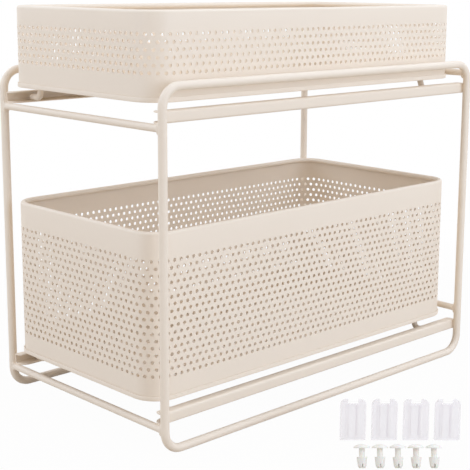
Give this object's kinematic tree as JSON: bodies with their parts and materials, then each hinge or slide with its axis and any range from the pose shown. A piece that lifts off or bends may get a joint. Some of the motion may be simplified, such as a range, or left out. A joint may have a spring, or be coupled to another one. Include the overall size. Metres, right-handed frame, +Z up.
{
  "type": "under sink organizer",
  "caption": "Free-standing wire frame with sheet rails that carry a shallow upper and a deep lower perforated basket, both sliding out to the front, with loose clip-on pads and push rivets.",
  "frame": {"origin": "on the floor, midway between the two side loops and midway between the front and back uprights", "axes": "+Z up, -Y towards the front where the baskets slide out, +X to the right seen from the front"},
  "size_m": [0.3759, 0.3842, 0.3408],
  "materials": {
    "powder_coat": "fine satin powder coat, cream",
    "clear_plastic": "cloudy translucent moulded plastic",
    "ivory_nylon": "satin moulded nylon, ivory"
  },
  "bodies": {
    "frame": {"left_side_loop": "powder_coat", "right_side_loop": "powder_coat", "lower_front_cross_wire": "powder_coat", "lower_back_cross_wire": "powder_coat", "upper_front_cross_wire": "powder_coat", "upper_back_cross_wire": "powder_coat", "lower_left_rail": "powder_coat", "lower_right_rail": "powder_coat", "upper_left_rail": "powder_coat", "upper_right_rail": "powder_coat", "floor_clip_1": "clear_plastic", "floor_clip_2": "clear_plastic", "floor_clip_3": "clear_plastic", "floor_clip_4": "clear_plastic", "push_rivets": "ivory_nylon"},
    "lower_basket": {"lower_basket_wall": "powder_coat", "lower_basket_floor": "powder_coat", "lower_front_left_hook": "powder_coat", "lower_front_right_hook": "powder_coat", "lower_back_left_hook": "powder_coat", "lower_back_right_hook": "powder_coat"},
    "upper_basket": {"upper_basket_wall": "powder_coat", "upper_basket_floor": "powder_coat", "upper_front_left_hook": "powder_coat", "upper_front_right_hook": "powder_coat", "upper_back_left_hook": "powder_coat", "upper_back_right_hook": "powder_coat"}
  },
  "joints": [
    {"name": "lower_slide", "type": "slide", "parent": "frame", "child": "lower_basket", "axis": [0, -1, 0], "range_m": [0, 0.25]},
    {"name": "upper_slide", "type": "slide", "parent": "frame", "child": "upper_basket", "axis": [0, -1, 0], "range_m": [0, 0.25]}
  ]
}
